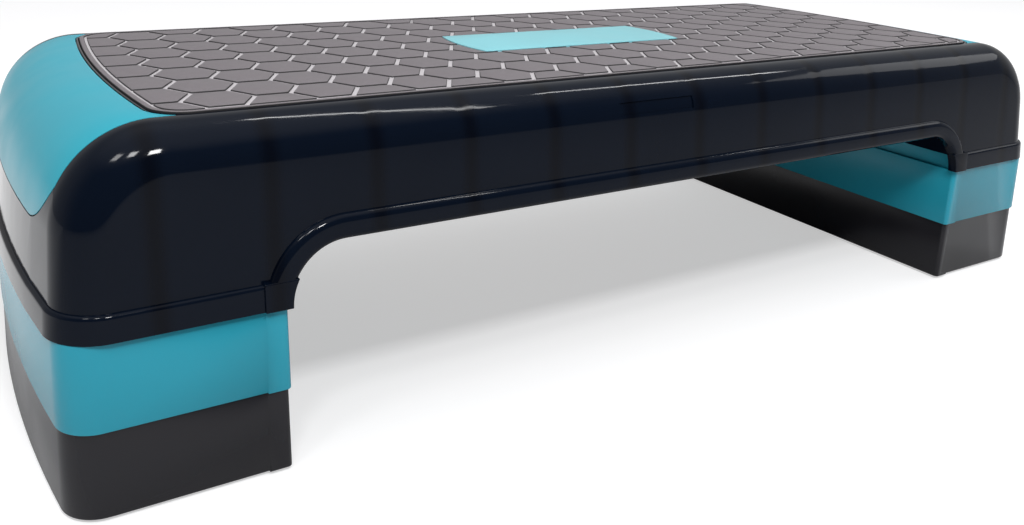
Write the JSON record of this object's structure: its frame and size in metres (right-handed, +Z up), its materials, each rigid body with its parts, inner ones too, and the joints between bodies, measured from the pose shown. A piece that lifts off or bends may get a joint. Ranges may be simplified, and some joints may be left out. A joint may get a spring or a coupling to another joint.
{
  "type": "aerobic step platform",
  "caption": "Low exercise step: glossy hollow deck with an arched underside, hexagon-tread rubber mat and coloured end caps, standing on stacked plug-in risers that set its height.",
  "frame": {"origin": "on the floor, under the middle of the platform", "axes": "+X along the length, the front is towards -Y, +Z up"},
  "size_m": [0.8798, 0.356, 0.2091],
  "materials": {
    "deck_black": "high gloss moulded",
    "mat_rubber": "matte with fine grain",
    "plate_teal": "satin",
    "cap_teal": "satin gloss",
    "riser_teal": "satin moulded",
    "riser_black": "satin moulded",
    "foot_rubber": "matte"
  },
  "bodies": {
    "deck": {"deck_shell": "deck_black", "tread_mat": "mat_rubber", "centre_plate": "plate_teal", "end_cap_left": "cap_teal", "end_cap_right": "cap_teal", "foot_deck_left_front_outer": "foot_rubber", "foot_deck_left_back_outer": "foot_rubber", "foot_deck_left_front_inner": "foot_rubber", "foot_deck_left_back_inner": "foot_rubber", "foot_deck_right_front_outer": "foot_rubber", "foot_deck_right_back_outer": "foot_rubber", "foot_deck_right_front_inner": "foot_rubber", "foot_deck_right_back_inner": "foot_rubber"},
    "upper_riser_left": {"upper_riser_left": "riser_teal", "foot_upper_riser_left_front_outer": "foot_rubber", "foot_upper_riser_left_back_outer": "foot_rubber", "foot_upper_riser_left_front_inner": "foot_rubber", "foot_upper_riser_left_back_inner": "foot_rubber"},
    "upper_riser_right": {"upper_riser_right": "riser_teal", "foot_upper_riser_right_front_outer": "foot_rubber", "foot_upper_riser_right_back_outer": "foot_rubber", "foot_upper_riser_right_front_inner": "foot_rubber", "foot_upper_riser_right_back_inner": "foot_rubber"},
    "lower_riser_left": {"lower_riser_left": "riser_black", "foot_lower_riser_left_front_outer": "foot_rubber", "foot_lower_riser_left_back_outer": "foot_rubber", "foot_lower_riser_left_front_inner": "foot_rubber", "foot_lower_riser_left_back_inner": "foot_rubber"},
    "lower_riser_right": {"lower_riser_right": "riser_black", "foot_lower_riser_right_front_outer": "foot_rubber", "foot_lower_riser_right_back_outer": "foot_rubber", "foot_lower_riser_right_front_inner": "foot_rubber", "foot_lower_riser_right_back_inner": "foot_rubber"}
  },
  "joints": [
    {"name": "upper_riser_left_unplug", "type": "slide", "parent": "deck", "child": "upper_riser_left", "axis": [0, 0, -1], "range_m": [0, 0.018]},
    {"name": "lower_riser_left_unplug", "type": "slide", "parent": "upper_riser_left", "child": "lower_riser_left", "axis": [0, 0, -1], "range_m": [0, 0.018]},
    {"name": "upper_riser_right_unplug", "type": "slide", "parent": "deck", "child": "upper_riser_right", "axis": [0, 0, -1], "range_m": [0, 0.018]},
    {"name": "lower_riser_right_unplug", "type": "slide", "parent": "upper_riser_right", "child": "lower_riser_right", "axis": [0, 0, -1], "range_m": [0, 0.018]}
  ]
}
